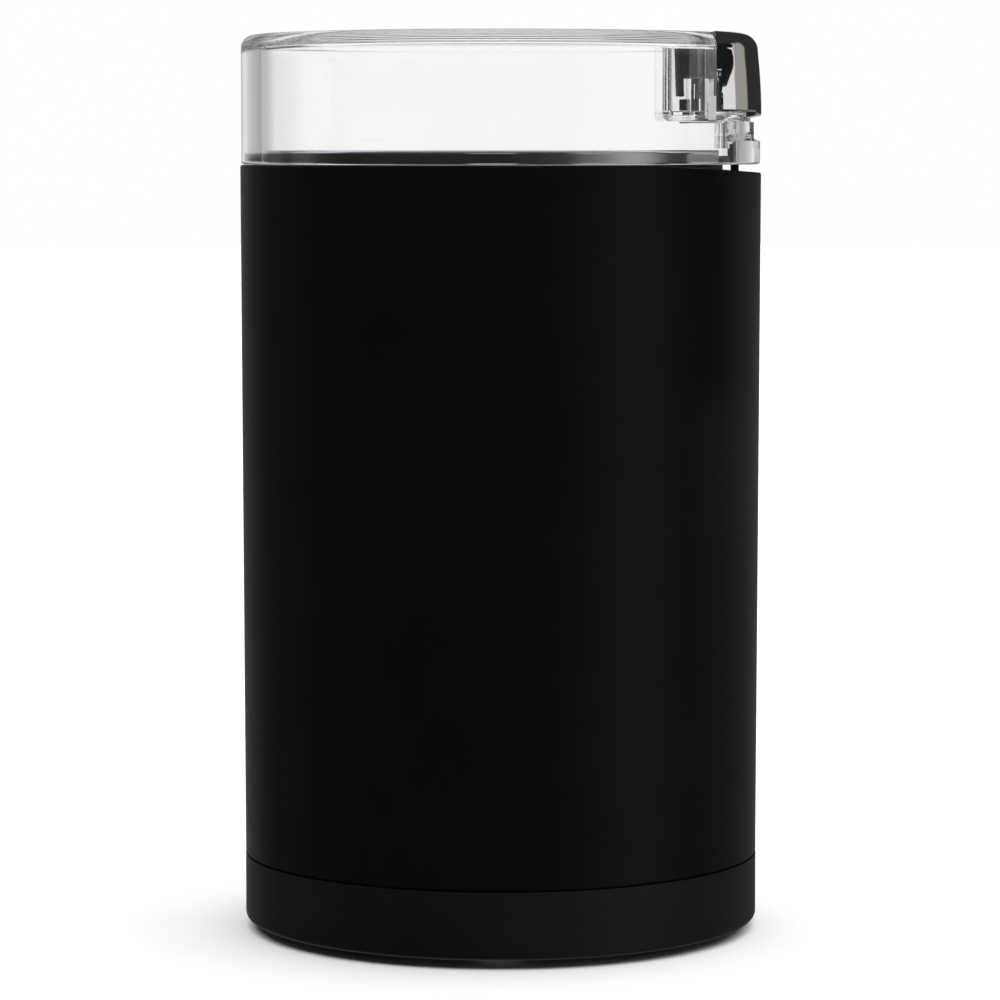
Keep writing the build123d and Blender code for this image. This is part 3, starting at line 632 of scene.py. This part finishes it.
def wmath(op, a, b=None, clamp=False):
    n = wn.new("ShaderNodeMath")
    n.operation = op
    n.use_clamp = clamp
    for i, v in enumerate((a, b)):
        if v is None:
            continue
        if isinstance(v, (int, float)):
            n.inputs[i].default_value = v
        else:
            wt.links.new(v, n.inputs[i])
    return n.outputs[0]


direction = wn.new("ShaderNodeTexCoord").outputs["Generated"]
sep = wn.new("ShaderNodeSeparateXYZ")
wt.links.new(direction, sep.inputs[0])
wx, wy, wz = sep.outputs
azimuth = wmath("MULTIPLY", wmath("ARCTAN2", wx, wy), 180 / math.pi)       # 0 behind the object, 90 to the right


def ramp(tree, value, stops, lo, hi):
    n = tree.nodes.new("ShaderNodeMapRange")
    n.inputs["From Min"].default_value = lo
    n.inputs["From Max"].default_value = hi
    tree.links.new(value, n.inputs["Value"])
    r = tree.nodes.new("ShaderNodeValToRGB")
    tree.links.new(n.outputs["Result"], r.inputs["Fac"])
    el = r.color_ramp.elements
    while len(el) > 1:
        el.remove(el[-1])
    for i, (p, v) in enumerate(stops):
        e = el[0] if i == 0 else el.new((p - lo) / (hi - lo))
        e.position = (p - lo) / (hi - lo)
        e.color = (v, v, v, 1)
    return r.outputs["Color"]


LOW = [     # at and below the horizon, as the body sees it
    (-180, 0.02), (-100, 0.02), (-88, 0.04), (-80, 0.20), (-73, 0.16), (-64, 0.06), (-56, 0.07), (-40, 0.15), (-20, 0.30), (-10, 0.36),
    (0, 0.50), (10, 0.36), (20, 0.25), (30, 0.19), (40, 0.16), (50, 0.12), (60, 0.09), (84, 0.05), (96, 0.08), (106, 0.37), (115, 0.53),
    (124, 0.42), (133, 0.24), (141, 0.17), (149, 0.06), (165, 0.03), (180, 0.02),
]
HIGH = [    # above it, as the button sees it
    (-180, 0.02), (-100, 0.02), (-88, 0.04), (-80, 0.20), (-73, 0.16), (-64, 0.06), (-56, 0.07), (-40, 0.15), (-20, 0.30), (-8, 0.40),
    (-4, 0.90), (5, 0.90), (7, 0.03), (40.5, 0.03), (41.2, 0.36), (51.6, 0.36), (52.0, 0.010), (84, 0.015), (100, 0.03), (106, 0.45), (140, 0.45), (148, 0.03), (180, 0.03),
]
elevation = wmath("MULTIPLY", wmath("ARCSINE", wz), 180 / math.pi)


def inside(value, lo, hi):
    return wmath("MULTIPLY", wmath("GREATER_THAN", value, lo), wmath("LESS_THAN", value, hi))


def rise(value, lo, hi):
    n = wn.new("ShaderNodeMapRange")
    n.inputs["From Min"].default_value = lo
    n.inputs["From Max"].default_value = hi
    wt.links.new(value, n.inputs["Value"])
    return n.outputs["Result"]


# the pale window's left edge stands upright in the button, so it turns a little lower down
lean = wmath("MULTIPLY", wmath("SUBTRACT", 1.0, rise(elevation, 4.5, 6.5)), wmath("MULTIPLY", wmath("GREATER_THAN", azimuth, 46.5), 2.6))
bent = wmath("SUBTRACT", azimuth, lean)
low, high = ramp(wt, azimuth, LOW, -180, 180), ramp(wt, bent, HIGH, -180, 180)
# a bright wall low behind the dark one on the right, whose top edge falls away to the right
EDGE = [(47, 0.371), (52, 0.371), (52.4, 0.220), (53.5, 0.190), (55, 0.172), (57, 0.160), (59, 0.150), (60.5, 0.138), (62, 0.123), (84, 0.123), (86, 0.0)]
table_top = wmath("MULTIPLY", ramp(wt, azimuth, EDGE, -180, 180), 31.0)
white = wmath("MULTIPLY", wmath("LESS_THAN", elevation, table_top), wmath("GREATER_THAN", bent, 51.8))


def wmix(fac, a, b):
    n = wn.new("ShaderNodeMix")
    n.data_type = "RGBA"
    wt.links.new(fac, n.inputs["Factor"])
    for s_, v in ((n.inputs[6], a), (n.inputs[7], b)):
        if isinstance(v, tuple):
            s_.default_value = (*v, 1)
        else:
            wt.links.new(v, s_)
    return n.outputs[2]


high = wmix(wmath("MULTIPLY", inside(bent, 41.0, 46.0), 0.8), high, (0.39, 0.36, 0.27))
high = wmix(wmath("MULTIPLY", inside(bent, 50.9, 51.8), 0.8), high, (0.70, 0.42, 0.24))
high = wmix(white, high, (0.90, 0.89, 0.87))
to_the_right = inside(azimuth, 8.0, 84.0)
step = wmath("ADD", wmath("MULTIPLY", rise(elevation, -0.1, 0.4), to_the_right), wmath("MULTIPLY", rise(elevation, 4.0, 6.0), wmath("SUBTRACT", 1.0, to_the_right)))
room = wmix(step, low, high)
front_right = inside(azimuth, 100.0, 148.0)
cut = wmath("ADD", wmath("MULTIPLY", rise(elevation, 42.0, 50.0), front_right), wmath("MULTIPLY", rise(elevation, 13.5, 17.0), wmath("SUBTRACT", 1.0, front_right)))
room = wmix(cut, room, (0.03, 0.03, 0.032))
# a lamp above and behind the camera, and a small one high on the right
over = wmath("MULTIPLY", wmath("ADD", wmath("GREATER_THAN", azimuth, 172.5), wmath("LESS_THAN", azimuth, -165.0)), inside(elevation, 14.2, 24.0))
room = wmix(over, room, (0.90, 0.90, 0.90))
spot = wmath("MULTIPLY", inside(azimuth, 44.0, 88.0), inside(elevation, 55.0, 65.0))
room = wmix(spot, room, (0.60, 0.60, 0.60))
bg = wn.new("ShaderNodeBackground")
wt.links.new(room, bg.inputs["Color"])
out = wn.new("ShaderNodeOutputWorld")
wt.links.new(bg.outputs[0], out.inputs["Surface"])

# a plain white backdrop, seen by the camera and through the clear parts
def glow(name, color, strength=1.0):
    m = bpy.data.materials.new(name)
    m.use_nodes = True
    t = m.node_tree
    t.nodes.clear()
    e = t.nodes.new("ShaderNodeEmission")
    e.inputs["Color"].default_value = (*color, 1)
    e.inputs["Strength"].default_value = strength
    t.links.new(e.outputs[0], t.nodes.new("ShaderNodeOutputMaterial").inputs["Surface"])
    return m


back_mat = glow("backdrop_white", (1, 1, 1))


def glow_round(name, stops, gain=1.25):
    """A glow whose strength follows the azimuth (0 behind the object, 90 to the right)."""
    m = glow(name, (1, 1, 1), 1.0)
    t = m.node_tree
    e = next(n for n in t.nodes if n.type == "EMISSION")
    pos = t.nodes.new("ShaderNodeSeparateXYZ")
    t.links.new(t.nodes.new("ShaderNodeTexCoord").outputs["Object"], pos.inputs[0])
    turn = t.nodes.new("ShaderNodeMath")
    turn.operation = "ARCTAN2"
    t.links.new(pos.outputs[0], turn.inputs[0])
    t.links.new(pos.outputs[1], turn.inputs[1])
    deg = t.nodes.new("ShaderNodeMath")
    deg.operation = "MULTIPLY"
    deg.inputs[1].default_value = 180 / math.pi
    t.links.new(turn.outputs[0], deg.inputs[0])
    g = t.nodes.new("ShaderNodeMath")
    g.operation = "MULTIPLY"
    g.inputs[1].default_value = gain
    t.links.new(ramp(t, deg.outputs[0], [(p_, v / gain) for p_, v in stops], -90, 90), g.inputs[0])
    t.links.new(g.outputs[0], e.inputs["Strength"])
    return m


# what the clear parts bend into view: white straight behind, greyer to the sides, and dark low down at the sides
clear_mat = glow_round("backdrop_lit", [
    (-62, 0.12), (-46, 0.12), (-42, 0.38), (-37, 0.45), (-32, 0.50), (-27, 0.57), (-23, 0.62), (-20, 0.76), (-17, 1.0), (-15, 1.07), (20, 1.07), (23, 1.02),
    (26, 0.80), (29, 0.62), (32, 0.53), (36, 0.44), (42, 0.40), (46, 0.12), (59, 0.12), (60, 0.62), (80, 0.62),
])
left_mat = glow_round("backdrop_low_left", [
    (-90, 0.02), (-62, 0.02), (-57, 0.06), (-52, 0.06), (-49, 0.015), (-27, 0.015), (-22, 0.03), (-19, 0.08), (-16, 0.25), (-13, 0.50),
])
right_mat = glow_round("backdrop_low_right", [(46, 0.18), (58, 0.13), (66, 0.05), (84, 0.04)])
ceiling_mat = glow("ceiling_pale", (0.80, 0.88, 1.0), 1.2)


def wall(name, radius, a0, a1, z0, z1, material, n=96):
    """An upright strip of a cylinder round the object, from azimuth a0 to a1 (0 behind it, 90 to the right)."""
    bm = bmesh.new()
    cols = []
    for k in range(n + 1):
        a = math.radians(a0 + (a1 - a0) * k / n)
        x, y = radius * math.sin(a), radius * math.cos(a)
        cols.append((bm.verts.new((x, y, z0)), bm.verts.new((x, y, z1))))
    for k in range(n):
        bm.faces.new((cols[k][0], cols[k + 1][0], cols[k + 1][1], cols[k][1]))
    o = new_object(name, bm)
    o.data.materials.append(material)
    return o


def only(o, *kinds):
    """Leaves a staged thing visible to these kinds of ray alone."""
    for k in ("camera", "diffuse", "glossy", "transmission", "shadow", "volume_scatter"):
        setattr(o, "visible_" + k, k in kinds)


only(wall("backdrop", 5.5, -180, 180, -0.5, 6.0, back_mat), "camera")
only(wall("backdrop_behind", 5.0, -60, 80, -4.0, 4.0, clear_mat), "transmission")
only(wall("backdrop_low_left", 4.9, -89.9, -14, -1.0, 0.139, left_mat), "transmission")
only(wall("backdrop_low_right", 4.9, 46, 84, -1.0, 0.139, right_mat), "transmission")
ceiling = plane("ceiling", 8.0, 3.5, ceiling_mat, 0.0)
only(ceiling, "transmission")
# the pale floor near the object, as it shows through the clear lid
near_floor = plane("floor_through_lid", 1.6, -0.002, glow("floor_pale", (0.93, 0.93, 0.93)))
only(near_floor, "transmission")


card_mat = glow("card_dark", (0.03, 0.03, 0.03))
bm = bmesh.new()
bm.faces.new([bm.verts.new((0.140, y, z)) for y, z in ((-0.040, 0.10), (0.045, 0.10), (0.045, 0.1475), (-0.040, 0.1475))])
card = new_object("card_right", bm)
card.data.materials.append(card_mat)
only(card, "glossy")


def lamp(name, kind, energy, direction, **facts):
    d = bpy.data.lights.new(name, kind)
    d.energy = energy
    for k, v in facts.items():
        setattr(d, k, v)
    o = bpy.data.objects.new(name, d)
    o.rotation_euler = Vector(direction).to_track_quat("-Z", "Y").to_euler()
    scene.collection.objects.link(o)
    return o


sky = lamp("overhead", "SUN", 4.65, (-0.10, -0.10, -1.0), angle=math.radians(110))
sky.visible_glossy = False
sky.visible_transmission = False

cam = bpy.data.cameras.new("camera")
cam.lens = 151.45
cam.sensor_width = 36.0
cam.shift_x = -0.0007
cam.clip_start = 0.01
cam.clip_end = 50
cam_o = bpy.data.objects.new("camera", cam)
cam_o.location = (0.0, -0.763, 0.1413)
cam_o.rotation_euler = (math.radians(90 - 4.77), 0, 0)
scene.collection.objects.link(cam_o)
scene.camera = cam_o

bpy.context.view_layer.update()
